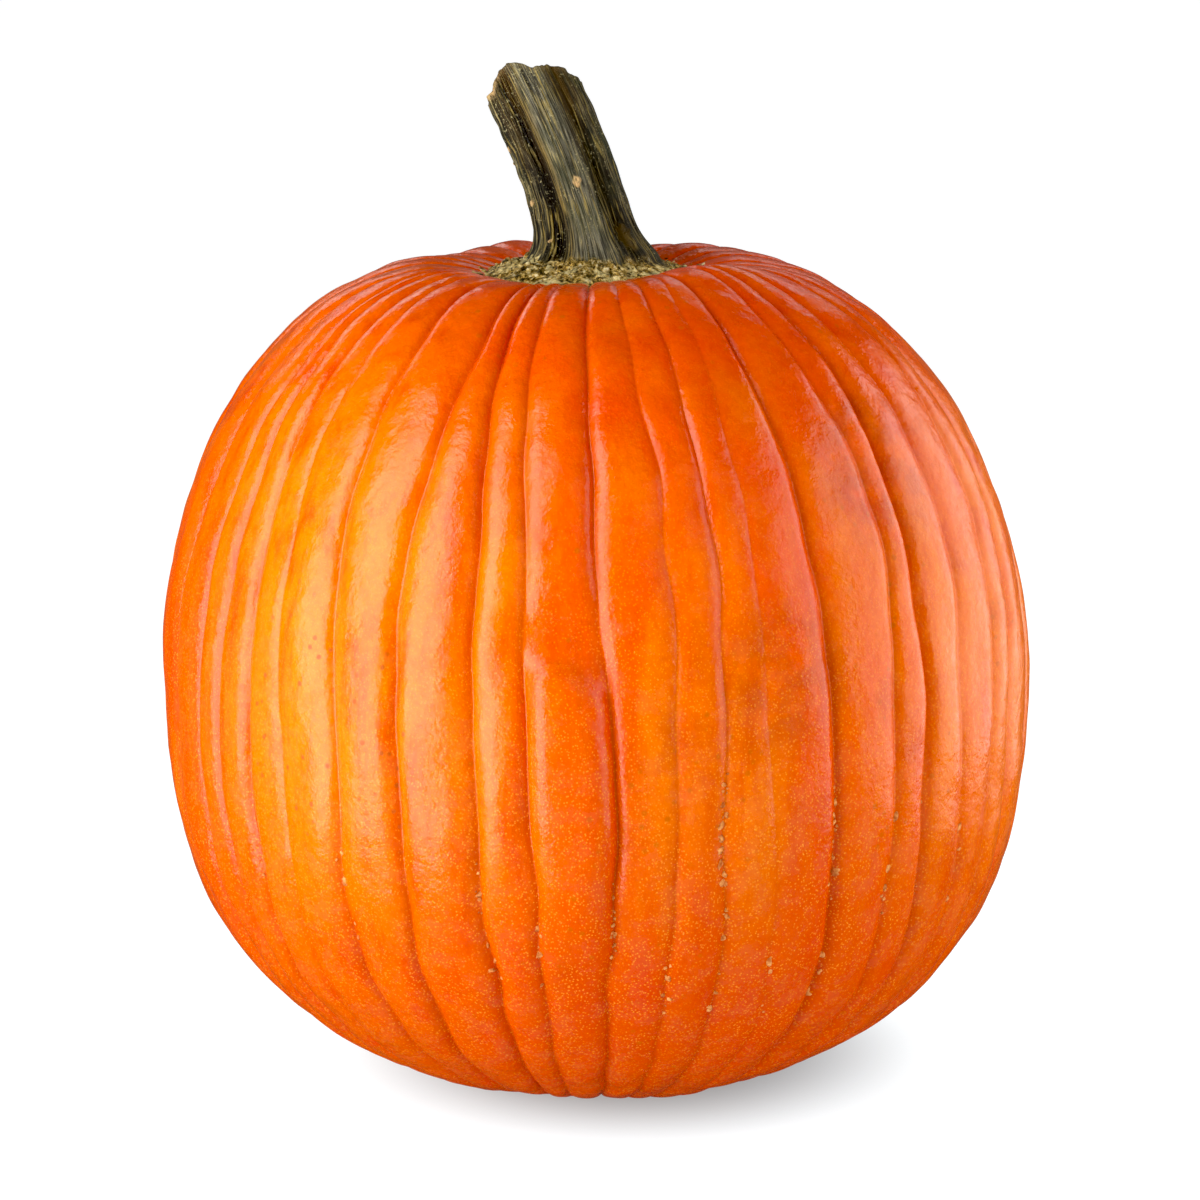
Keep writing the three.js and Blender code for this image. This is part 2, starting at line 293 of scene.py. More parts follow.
def noise_at(points, spacing, seed):
    shift = Vector((seed * 3.1, seed * 7.3, seed * 1.7))
    return np.array([noise.noise(Vector(p) / spacing + shift) for p in points])


def layers_at(points, layers):
    return sum(height * noise_at(points, spacing, seed) for height, spacing, seed in layers)


# One ring of the skin at a latitude: its points, how near each is to a deep groove, where painted shade
# darkens the rind, and a gold on each rib's left side that is painted light, stronger on some ribs than
# others.
def skin_ring(grooves, shades, latitude):
    lines = groove_lines(grooves, latitude)
    nexts = np.append(lines[1:], lines[0] + 360)
    shares = np.array(COLUMN_SHARES)
    widths = (nexts - lines)[:, None]
    azimuth = (lines[:, None] + shares * widths).ravel()
    depth = grooves[:, 4]
    next_depth = np.roll(depth, -1)
    sunk = depth[:, None] * groove_share(shares, widths)
    sunk = (sunk + next_depth[:, None] * groove_share(1 - shares, widths)).ravel()
    radius, height = shell(latitude)
    r1, h1 = shell(min(latitude + 0.5, 90))
    r0, h0 = shell(max(latitude - 0.5, -90))
    length = math.hypot(r1 - r0, h1 - h0)
    outward = ((h1 - h0) / length, -(r1 - r0) / length)
    turn = np.radians(azimuth)
    tilt = math.radians(latitude)
    swell = sum(s["height"] * np.sin(s["round"] * turn + s["tilt"] * tilt + s["phase"]) for s in SWELLS)
    lift = swell * radius / FRUIT_RADIUS - sunk * (radius / FRUIT_RADIUS) ** GROOVE_FADE
    r = radius + outward[0] * lift
    x, y, z = r * np.sin(turn), -r * np.cos(turn), height + outward[1] * lift
    if latitude > 0:
        z = z + crown_swell(x, y)
    points = np.stack([x + LEAN * z, y, z + WIDEST_LEVEL], -1)
    normal = np.stack([outward[0] * np.sin(turn), -outward[0] * np.cos(turn), 0 * turn + outward[1]], -1)
    near = np.minimum(shares, 1 - shares) * widths * radius * math.pi / 180
    # Painted shade in the grooves: 1 on a deep groove's line, fading away from it.
    side_depth = np.where(shares < 0.5, depth[:, None], next_depth[:, None])
    deep = np.clip(side_depth / CREASE_SHADE["depth"], 0, 1)
    groove = (np.exp(-near / CREASE_SHADE["width"]) * deep).ravel()
    # Painted light: each rib golder on its left side, where the left lamp falls, by a random strength per
    # rib.
    shade = np.repeat(shades, len(shares)) * np.tile(1 - shares, len(shades))
    return points, normal, groove, shade, radius


def quad_rings(rows, columns, first=0):
    row = np.arange(rows - 1)[:, None] * columns
    a = np.arange(columns)[None, :]
    b = (a + 1) % columns
    return (np.stack([row + a, row + b, row + columns + b, row + columns + a], -1) + first).reshape(-1, 4)


def make_object(name, points, faces, material, attributes=None):
    mesh = bpy.data.meshes.new(name)
    mesh.from_pydata((np.asarray(points) * MM).tolist(), [], [list(map(int, f)) for f in faces])
    mesh.polygons.foreach_set("use_smooth", [True] * len(mesh.polygons))
    for key, values in (attributes or {}).items():
        layer = mesh.attributes.new(key, "FLOAT", "POINT")
        layer.data.foreach_set("value", np.asarray(values, np.float32))
    mesh.materials.append(material)
    made = bpy.data.objects.new(name, mesh)
    bpy.context.scene.collection.objects.link(made)
    return made


# One rib in front swells out below a round edge, with a slight saddle above it.
def blister_lift(points, columns):
    per_rib = len(COLUMN_SHARES)
    share = np.array(COLUMN_SHARES) * 2 - 1
    aside = share - BLISTER["side"]
    lift = np.zeros((len(points) // columns, columns))
    own = slice(BLISTER["rib"] * per_rib - per_rib, BLISTER["rib"] * per_rib)
    level = points[:, 2].reshape(-1, columns)[:, own] - WIDEST_LEVEL
    edge = BLISTER["top"] - BLISTER["curve"] * aside ** 2
    below = smooth_step(0, BLISTER["edge"], edge - level)
    fading = smooth_step(BLISTER["fades"], -10, level)
    above = level - BLISTER["top"] - BLISTER["saddle_above"]
    saddle = np.exp(-((above / BLISTER["saddle_width"]) ** 2))
    lift[:, own] = (BLISTER["height"] * below * fading - BLISTER["saddle"] * saddle) * (1 - share ** 4)
    return lift.ravel()


def make_fruit(material):
    grooves = all_grooves()
    chance = random.Random(SHADE_SEED)
    shades = np.array([chance.random() for _ in grooves])
    latitudes = np.linspace(-90, 90, SKIN_ROWS + 2)[1:-1]
    rings = [skin_ring(grooves, shades, latitude) for latitude in latitudes]
    points = np.concatenate([r[0] for r in rings])
    normals = np.concatenate([r[1] for r in rings])
    groove = np.concatenate([r[2] for r in rings])
    shade = np.concatenate([r[3] for r in rings])
    columns = len(rings[0][0])
    calm = 1 - CALM["in_grooves"] * groove
    radius = np.repeat([r[4] for r in rings], columns)
    calm *= smooth_step(CALM["from"], CALM["to"], radius)
    lift = blister_lift(points, columns)
    for seed, bumps in enumerate((DIMPLES, WAVES), 1):
        places = points * [1, 1, bumps["stretch"]]
        lift += bumps["height"] * calm * noise_at(places, bumps["spacing"], seed)
    away = radius / BLOSSOM_SCAR["radius"]
    scar = np.where(points[:, 2] < WIDEST_LEVEL, smooth_step(1.25, 0.85, away), 0)
    crust = BLOSSOM_SCAR["least"] + BLOSSOM_SCAR["uneven"] * noise_at(points, BLOSSOM_SCAR["grain"], 10)
    lift += BLOSSOM_SCAR["height"] * scar * crust
    points = points + normals * lift[:, None]
    points[:, 2] = np.maximum(points[:, 2], 0)
    faces = quad_rings(len(rings), columns).tolist()
    low, high = len(points), len(points) + 1
    ends = [shell(latitude)[1] for latitude in (-90, 90)]
    points = np.concatenate([points, [[LEAN * end, 0, WIDEST_LEVEL + end] for end in ends]])
    top = (len(rings) - 1) * columns
    for c in range(columns):
        d = (c + 1) % columns
        faces.append([low, d, c])
        faces.append([high, top + c, top + d])
    groove = np.append(groove, [0, 0])
    shade = np.append(shade, [0.5, 0.5])
    scar = np.append(scar, [1, 0])
    attributes = {"groove": groove, "rib_tone_and_lit_side": shade, "scar": scar}
    return make_object("pumpkin_fruit", points, faces, material, attributes)


# Middle of the stem at each level: upright in the crown, then bent left and back.
def stem_middle(level):
    bent = np.maximum(level - STEM_BEND["from"], 0) ** STEM_BEND["power"]
    x = STEM_BEND["x"] - STEM_BEND["left"] * bent
    return np.stack([x, STEM_BEND["back"] * bent, level], -1)


def stem_radius(azimuth, level):
    rise = STEM_FLARE["rise"] + STEM_FLARE["slant"] * np.sin(np.radians(azimuth))
    radius = STEM_RADIUS + STEM_FLARE["width"] * np.exp(-(level - STEM_FLARE["level"]) / rise)
    for middle, depth, width in STEM_VALLEYS:
        away = np.abs((azimuth - middle + 540) % 360 - 180)
        radius = radius - depth * np.exp(-((away / width) ** 2))
    return radius


def unit(v):
    return v / np.linalg.norm(v, axis=-1, keepdims=True)


def stem_points(azimuth, level, lift=0.0):
    azimuth, level = np.broadcast_arrays(np.asarray(azimuth, float), np.asarray(level, float))
    along = unit(stem_middle(level + 0.5) - stem_middle(level - 0.5))
    right = unit(np.cross(np.array([0.0, 1.0, 0.0]), along))
    back = np.cross(along, right)
    radius = (stem_radius(azimuth, level) + lift)[..., None]
    turn = np.radians(azimuth)[..., None]
    return stem_middle(level) + radius * (right * np.sin(turn) - back * np.cos(turn))


def cut_level(points):
    plain = CUT["level"] - CUT["back_slope"] * (points[..., 1] - CUT["front"])
    return np.minimum(plain, plain - CUT["bevel_slope"] * (CUT["bevel_from"] - points[..., 0]))


def cut_levels(azimuth):
    low = np.full(azimuth.shape, STEM_BEND["from"])
    high = np.full(azimuth.shape, STEM_REACH)
    for _ in range(30):
        half = (low + high) / 2
        points = stem_points(azimuth, half)
        inside = points[..., 2] < cut_level(points)
        low = np.where(inside, half, low)
        high = np.where(inside, high, half)
    return low


# Share of a bump round an azimuth, falling off over a width in degrees.
def azimuth_bump(azimuth, middle, width):
    away = (azimuth - middle + 540) % 360 - 180
    return np.exp(-((away / width) ** 2))


# Round spots on the stem's side, 1 in their middles.
def stem_spots(azimuth, level, spots):
    share = np.zeros(azimuth.shape)
    for middle, height, radius, stretch in spots:
        aside = np.radians((azimuth - middle + 540) % 360 - 180) * STEM_RADIUS
        ragged = np.sin(2.3 * aside + height) * np.sin(1.9 * level)
        away = np.hypot(aside, (level - height) / stretch) + 0.3 * radius * ragged
        share = np.maximum(share, smooth_step(1.25, 0.7, away / radius))
    return share


# Level up to which the cork stands on the stem's foot at an azimuth.
def cork_border(azimuth):
    return CORK_TOP + sum(rise * azimuth_bump(azimuth, middle, width) for middle, rise, width in CORK_BORDER)


# Cork grains, lying close: how near each place is to the middle of its grain, 0 on the seams.
def grains_at(points, spacing, seed):
    shift = Vector((seed * 5.3, seed * 2.9, seed * 4.1))
    nearest = [noise.voronoi(Vector(p) / spacing + shift)[0] for p in points]
    return np.array([min(1.0, 2.2 * (d[1] - d[0])) for d in nearest])


# Fibres, knots and corky grain that stand out of the stem's plain form, and the share of cork at each
# point.
def stem_relief(azimuth, level):
    a = np.radians(azimuth).ravel()
    flat_level = level.ravel()
    ring = np.stack([np.cos(a) * STEM_RADIUS, np.sin(a) * STEM_RADIUS, flat_level * FIBRE_DRAW], -1)
    fibre = layers_at(ring, FIBRES)
    lump = np.stack([np.cos(a) * CORK_RADIUS, np.sin(a) * CORK_RADIUS, flat_level], -1)
    knots = layers_at(lump, KNOTS)
    above = flat_level - cork_border(azimuth.ravel()) + layers_at(lump, CORK_RAGGED)
    cork = smooth_step(0.7, -1.2, above)
    crust = np.zeros(len(a))
    low = cork > 0
    low_lump = lump[low]
    grains = grains_at(low_lump, CRUST_GRAIN["width"], CRUST_GRAIN["seed"])
    crust[low] = CRUST_GRAIN["height"] * grains + layers_at(low_lump, CRUST_LUMPS)
    relief = ((1 - cork) * (fibre + knots) + cork * crust).reshape(azimuth.shape)
    scar = stem_spots(azimuth, level, PETIOLE_SCARS)
    rim = scar * (1 - scar) * 4
    relief = relief * (1 - scar) + SCAR_RIM * rim - SCAR_HOLLOW * scar
    relief = relief + PALE_RISE * stem_spots(azimuth, level, PALE_SPOTS)
    return relief, cork.reshape(azimuth.shape)


def make_stem(material):
    azimuth = np.arange(STEM_COLUMNS) * 360 / STEM_COLUMNS
    tops = cut_levels(azimuth) + sum(h * azimuth_bump(azimuth, m, w) for m, h, w in CUT_PEAKS)
    turn = np.radians(azimuth)
    frayed = np.stack([np.cos(turn), np.sin(turn), 0 * azimuth], -1) * STEM_RADIUS
    tops += FRAYED["height"] * noise_at(frayed, FRAYED["width"], 11)
    share = (np.arange(STEM_ROWS) / (STEM_ROWS - 1))[:, None]
    level = STEM_FOOT + (tops - STEM_FOOT) * (0.35 * share + 0.65 * share ** 1.6)
    azimuths = np.broadcast_to(azimuth, level.shape)
    relief, cork = stem_relief(azimuths, level)
    sides = stem_points(azimuths, level, relief)
    # Painted shade in the stem's valleys: how deep the valley is near each point.
    valley = np.zeros(azimuths.shape)
    for middle, depth, width in STEM_VALLEYS:
        bump = azimuth_bump(azimuths, middle, VALLEY_SHADE["spread"] * width)
        valley = valley + depth / VALLEY_SHADE["depth"] * bump
    spot = stem_spots(azimuths, level, PALE_SPOTS)
    edge = smooth_step(PALE_EDGE["deep"], PALE_EDGE["thin"], tops[None, :] - level)
    pale = PALE_EDGE["share"] * azimuth_bump(azimuths, PALE_EDGE["middle"], PALE_EDGE["width"])
    spot = np.maximum(spot, edge * (PALE_EDGE["all_round"] + pale))
    petiole = stem_spots(azimuths, level, PETIOLE_SCARS)
    flank = azimuth_bump(azimuths, LIT_FLANK["middle"], LIT_FLANK["width"])
    foot = sides[0].copy()
    foot[:, 2] -= STEM_SUNK
    rim = sides[-1]
    heart = rim.mean(axis=0)
    rings = []
    for step in CUT_RINGS:
        ring = rim + (heart - rim) * step
        flat = smooth_step(0, 0.4, step)
        ring[:, 2] += flat * (cut_level(ring) - ring[:, 2]) - CUT_HOLLOW * smooth_step(0.3, 0.95, step)
        ring[:, 2] += CUT_ROUGHNESS * noise_at(ring, 2.1, 9) * smooth_step(0, 0.1, step) * (1 - 0.6 * step)
        rings.append(ring)
    points = np.concatenate([foot[None], sides, np.array(rings)]).reshape(-1, 3)
    rows = 1 + STEM_ROWS + len(CUT_RINGS)
    faces = quad_rings(rows, STEM_COLUMNS).tolist()
    centre = len(points)
    points = np.concatenate([points, [[heart[0], heart[1], float(cut_level(heart)) - CUT_HOLLOW]]])
    top = (rows - 1) * STEM_COLUMNS
    for c in range(STEM_COLUMNS):
        faces.append([centre, top + c, top + (c + 1) % STEM_COLUMNS])
    faces.append(list(range(STEM_COLUMNS))[::-1])
    side_count = STEM_COLUMNS * (1 + STEM_ROWS)
    cut_count = STEM_COLUMNS * len(CUT_RINGS) + 1
    cut = np.concatenate([np.zeros(side_count), np.ones(cut_count)])
    pad = np.zeros(STEM_COLUMNS * len(CUT_RINGS) + 1)
    cork = np.concatenate([cork[0], cork.ravel(), pad])
    valley = np.concatenate([valley[0], valley.ravel(), pad])
    spot = np.concatenate([spot[0], spot.ravel(), pad])
    petiole = np.concatenate([petiole[0], petiole.ravel(), pad])
    flank = np.concatenate([flank[0], flank.ravel(), pad])
    around = np.concatenate([azimuth, azimuths.ravel(), np.tile(azimuth, len(CUT_RINGS)), [0]])
    points = points + [0, 0, WIDEST_LEVEL]
    return make_object("pumpkin_stem", points, faces, material, {
        "cut": cut, "cork": cork, "valley": valley, "flank": flank,
        "spot": spot, "petiole": petiole, "around": around})


# Small lumps of irregular form: their places, radii and the direction that each lies flat against.
def lump_points(chance, places, normals, radii, flatness):
    base = bmesh.new()
    bmesh.ops.create_icosphere(base, subdivisions=2, radius=1)
    sphere = np.array([v.co[:] for v in base.verts])
    triangles = np.array([[v.index for v in f.verts] for f in base.faces])
    base.free()
    points, faces = [], []
    for place, normal, radius in zip(places, normals, radii):
        stretch = [chance.uniform(*LUMP["long"]), chance.uniform(*LUMP["wide"]), 1.0]
        shift = Vector((chance.uniform(0, 90), chance.uniform(0, 90), chance.uniform(0, 90)))
        bumps = [noise.noise(Vector(p) * LUMP["bumps"] + shift) for p in sphere]
        uneven = 1 + LUMP["uneven"] * np.array(bumps)
        lump = sphere * uneven[:, None] * stretch
        turn = chance.uniform(0, 2 * math.pi)
        side = unit(np.cross(normal, [math.cos(turn), math.sin(turn), 0.3]))
        other = np.cross(normal, side)
        lump = lump[:, :1] * side + lump[:, 1:2] * other + flatness * lump[:, 2:] * normal
        faces.append(triangles + len(points) * len(sphere))
        points.append(place + radius * lump)
    return np.concatenate(points), np.concatenate(faces).tolist()


# Corky warts that the skin grew along its grooves, each sunk a little past its middle.
def make_warts(skin, material):
    chance = random.Random(WART["seed"])
    grooves = all_grooves()
    places, normals, radii = [], [], []
    for number, low, high, count in WARTS:
        for _ in range(count):
            latitude = chance.uniform(low, high)
            radius, height = shell(latitude)
            stray = chance.gauss(0, WART["stray"]) / (radius * math.pi / 180)
            turn = math.radians(groove_lines(grooves, latitude)[number - 1] + stray)
            outward = Vector((math.sin(turn), -math.cos(turn), 0))
            start = Vector((LEAN * height, 0, height + WIDEST_LEVEL)) + 2 * FRUIT_RADIUS * outward
            place, normal, _, _ = skin.ray_cast(start, -outward)
            size = chance.uniform(*WART["size"]) * chance.uniform(0.6, 1)
            places.append(np.array(place) - WART["sunk"] * size * np.array(normal))
            normals.append(np.array(normal))
            radii.append(size)
    points, faces = lump_points(chance, places, normals, radii, WART["flatness"])
    return make_object("skin_warts", points, faces, material)


# Corky crumbs that have broken off the stem's foot and lie close together on it and on the skin round it.
def make_crumbs(ground, material):
    chance = random.Random(CRUMBS["seed"])
    places, normals, radii = [], [], []
    while len(places) < CRUMBS["count"]:
        turn = chance.uniform(0, 2 * math.pi)
        away = CRUMBS["inner"] + (CRUMBS["outer"] - CRUMBS["inner"]) * chance.random()
        sine, cosine = math.sin(turn), math.cos(turn)
        ragged = CRUMBS["ragged"] * noise.noise(Vector((3 * sine, 3 * cosine, 0)))
        reach = CRUMBS["reach"] + CRUMBS["aside"] * abs(sine) + ragged
        if away > reach:
            continue
        start = Vector((away * sine + STEM_BEND["x"], -away * cosine, WIDEST_LEVEL + CRUMBS["drop"]))
        place, normal, _, _ = ground.ray_cast(start, Vector((0, 0, -1)))
        uneven = noise.noise(Vector((4 * sine, 4 * cosine, 9)))
        border = cork_border(math.degrees(turn)) + CRUMBS["border"] * uneven
        if place is None or place.z > WIDEST_LEVEL + border - CRUMBS["below"]:
            continue
        size = CRUMBS["size"][0] + (CRUMBS["size"][1] - CRUMBS["size"][0]) * chance.random() ** 3
        if away > reach - CRUMBS["rim"]:
            size *= CRUMBS["rim_size"]
        places.append(np.array(place) - CRUMBS["sunk"] * size * np.array(normal))
        normals.append(np.array(normal))
        radii.append(size)
    points, faces = lump_points(chance, places, normals, radii, CRUMBS["flatness"])
    return make_object("cork_crumbs", points, faces, material)


def surface_of(*objects):
    points, faces = [], []
    for made in objects:
        first = len(points)
        points += [v.co / MM for v in made.data.vertices]
        faces += [[first + i for i in f.vertices] for f in made.data.polygons]
    return BVHTree.FromPolygons(points, faces)


# Colours are sRGB hex values, turned to linear once here.
def colour(hex_value):
    channels = [int(hex_value[i:i + 2], 16) / 255 for i in (1, 3, 5)]
    linear = [c / 12.92 if c <= 0.04045 else ((c + 0.055) / 1.055) ** 2.4 for c in channels]
    return (*linear, 1.0)


# Adds a node with its settings, and links or values for its inputs, which are given by name or number.
def add_node(tree, kind, settings=None, inputs=None):
    made = tree.nodes.new("ShaderNode" + kind)
    for key, value in (settings or {}).items():
        setattr(made, key, value)
    for key, value in (inputs or {}).items():
        if isinstance(value, bpy.types.NodeSocket):
            tree.links.new(value, made.inputs[key])
        else:
            made.inputs[key].default_value = value
    return made


def new_material(name):
    made = bpy.data.materials.new(name)
    made.use_nodes = True
    tree = made.node_tree
    tree.nodes.clear()
    return made, tree


def finish_material(tree, shader):
    add_node(tree, "OutputMaterial", inputs={"Surface": shader.outputs[0]})


# Patches of a size in millimetres on a place vector: noise, of which the part between low and high is kept.
def patches(tree, place, size, low, high, detail=3, roughness=0.5):
    made = add_node(tree, "TexNoise", inputs={
        "Vector": place, "Scale": 1 / (size * MM), "Detail": detail, "Roughness": roughness})
    return add_node(tree, "MapRange", inputs={0: made.outputs[0], 1: low, 2: high}).outputs[0]


# Round dots about one spacing in millimetres apart; inner and outer are shares of it at the dots' edges.
def dots(tree, place, spacing, inner, outer):
    cells = add_node(tree, "TexVoronoi", inputs={"Vector": place, "Scale": 1 / (spacing * MM)})
    return add_node(tree, "MapRange", inputs={0: cells.outputs["Distance"], 1: outer, 2: inner}).outputs[0]


# Coats of colour over a first one: each has its masks, its strength and its colour.
def coated(tree, skin, coats):
    for masks, strength, tone in coats:
        share = strength
        for mask in masks:
            share = add_node(tree, "Math", {"operation": "MULTIPLY"}, {0: mask, 1: share}).outputs[0]
        top = colour(tone) if isinstance(tone, str) else tone
        skin = add_node(tree, "Mix", {"data_type": "RGBA"}, {0: share, 6: skin, 7: top}).outputs[2]
    return skin


# A round region of the surface, in millimetres: 1 in its middle, 0 from its radius on.
def region(tree, place, x, y, z, radius):
    away = add_node(tree, "VectorMath", {"operation": "DISTANCE"}, {0: place, 1: (x * MM, y * MM, z * MM)})
    return add_node(tree, "MapRange", {"interpolation_type": "SMOOTHSTEP"}, {
        0: away.outputs["Value"], 1: 0.4 * radius * MM, 2: radius * MM, 3: 1.0, 4: 0.0}).outputs[0]


# Waxy rind of a ripe pumpkin, grown: half gloss, deep orange, mottled along the ribs, with a fine pale
# stipple; painted light golds the ribs' left sides and the fruit's sides, and painted shade darkens the
# grooves and the bottom.
def waxy_rind():
    material, tree = new_material("waxy_rind")
    place = add_node(tree, "TexCoord").outputs["Object"]
    across = add_node(tree, "SeparateXYZ", inputs={0: place})
    height = across.outputs["Z"]
    along = add_node(tree, "VectorMath", {"operation": "MULTIPLY"}, {0: place, 1: (1, 1, RIB_DRAW)})
    along = along.outputs[0]
    groove, shade, scar = (
        add_node(tree, "Attribute", {"attribute_name": name}).outputs["Fac"]
        for name in ("groove", "rib_tone_and_lit_side", "scar"))
    crown, low, middle, golden, inner, tawny, bottom_shade = (
        add_node(tree, "MapRange", {"interpolation_type": "SMOOTHSTEP"},
                 {0: way, 1: start * MM, 2: end * MM, 3: least, 4: most}).outputs[0]
        for way, start, end, least, most in (
            (height, 205, 290, 0.0, 0.8), (height, 265, 105, 0.2, 1.0), (height, 60, 110, 0.3, 1.0),
            (across.outputs["X"], -5, -80, 0.0, 1.0), (across.outputs["X"], -143, -92, 0.0, 1.0),
            (across.outputs["X"], 60, 135, 0.0, 1.0), (height, 150, 35, 0.0, 1.0)))
    skin = coated(tree, colour("#E44800"), (
        ((patches(tree, along, 14, 0.3, 0.7, 5, 0.6),), 1.0, "#E85800"),
        # Golder on the fruit's left and right sides, where the two lamps fall: partly the rind's own tone,
        # partly painted light.
        ((golden, inner), 0.9, "#F27E00"),
        ((tawny,), 0.6, "#F07A00"),
        ((patches(tree, along, 27, 0.46, 0.66, 4, 0.55), middle), 0.5, "#F28400"),
        ((patches(tree, along, 5, 0.45, 0.72, 4, 0.6),), 0.38, "#F08000"),
        # Painted light: gold on each rib's left side, where the left lamp falls, stronger on some ribs than
        # others.
        ((shade,), 0.4, "#F28600"),
        ((crown,), 0.8, "#E24800"),
        # Painted shade: the rind darker and redder towards the bottom.
        ((bottom_shade,), 0.7, "#CC3E00"),
        ((patches(tree, along, 10, 0.5, 0.68, 5, 0.65),), 0.6, "#D23400"),
        ((patches(tree, place, 34, 0.56, 0.7, 6, 0.62),), 0.35, "#B23400"),
        ((patches(tree, place, 12, 0.36, 0.56, 5, 0.6), region(tree, place, *SMUDGED)), 0.55, "#B44614"),
        ((patches(tree, place, 12, 0.42, 0.6, 5, 0.6), region(tree, place, *FLUSHED)), 0.55, "#B44A20"),
        ((patches(tree, place, 2.8, 0.3, 0.7, 3, 0.7),), 0.3, "#C83400"),
        # Darker red along the grooves: partly the rind's own tone, partly painted shade.
        ((groove,), 0.35, "#B42C00"),
    ))
    freckles = add_node(tree, "Math", {"operation": "MULTIPLY"}, {
        0: dots(tree, place, 5.5, 0.1, 0.2), 1: region(tree, place, *FRECKLED)}).outputs[0]
    # The stipple's dots are 0.3 mm across and 0.9 mm apart on the fruit, and are drawn a little coarser
    # to show.
    fine_dots = dots(tree, place, 1.0, 0.05, 0.37)
    large_dots = dots(tree, place, 2.2, 0.04, 0.15)
    skin = coated(tree, skin, (
        ((fine_dots, low, patches(tree, place, 18, 0.2, 0.45)), 0.75, "#FFA42E"),
        ((large_dots, low, patches(tree, place, 30, 0.45, 0.65)), 0.6, "#FFB84A"),
        ((dots(tree, place, 6, 0.1, 0.2), patches(tree, place, 45, 0.5, 0.6)), 0.6, "#C05C00"),
        ((freckles,), 0.9, "#B45000"),
        ((scar,), 1.0, cork_colour(tree, place, 3)),
    ))
    pores = add_node(tree, "TexNoise", inputs={"Vector": place, "Scale": 1 / (1.1 * MM), "Detail": 2})
    wax = add_node(tree, "TexNoise", inputs={
        "Vector": place, "Scale": 1 / (6 * MM), "Detail": 4, "Roughness": 0.6})
    relief = add_node(tree, "Math", {"operation": "MULTIPLY_ADD"}, {
        0: wax.outputs[0], 1: 8.0, 2: pores.outputs[0]})
    bump = add_node(tree, "Bump", inputs={
        "Height": relief.outputs[0], "Strength": 0.75, "Distance": 0.1 * MM})
    dull_patches = patches(tree, place, 9, 0.45, 0.7, 5, 0.65)
    dull = add_node(tree, "Math", {"operation": "MAXIMUM"}, {0: dull_patches, 1: freckles})
    gloss = add_node(tree, "MapRange", inputs={0: dull.outputs[0], 1: 0.0, 2: 1.0, 3: 0.19, 4: 0.4})
    shader = add_node(tree, "BsdfPrincipled", inputs={
        "Base Color": skin, "Roughness": gloss.outputs[0], "IOR": 1.42, "Normal": bump.outputs[0]})
    finish_material(tree, shader)
    return material


# Cork of many tones, from dark brown to pale straw, in grains of a size in millimetres.
def cork_colour(tree, place, size):
    grains = add_node(tree, "TexNoise", inputs={
        "Vector": place, "Scale": 1 / (size * MM), "Detail": 4, "Roughness": 0.75})
    ramp = add_node(tree, "ValToRGB", inputs={0: grains.outputs[0]})
    set_stops(ramp, (
        (0.36, "#15120A"), (0.43, "#453818"), (0.5, "#A07E32"), (0.56, "#DCB962"), (0.63, "#F6E8B8")))
    return coated(tree, ramp.outputs[0], (
        ((patches(tree, place, 2.5 * size, 0.45, 0.65),), 0.6, "#332F14"),
        ((patches(tree, place, 4 * size, 0.5, 0.62), patches(tree, place, 0.6 * size, 0.35, 0.5)),
         0.65, "#E6D596"),
    ))


def set_stops(ramp, stops):
    elements = ramp.color_ramp.elements
    while len(elements) < len(stops):
        elements.new(0.5)
    for element, (position, tone) in zip(elements, stops):
        element.position = position
        element.color = colour(tone)
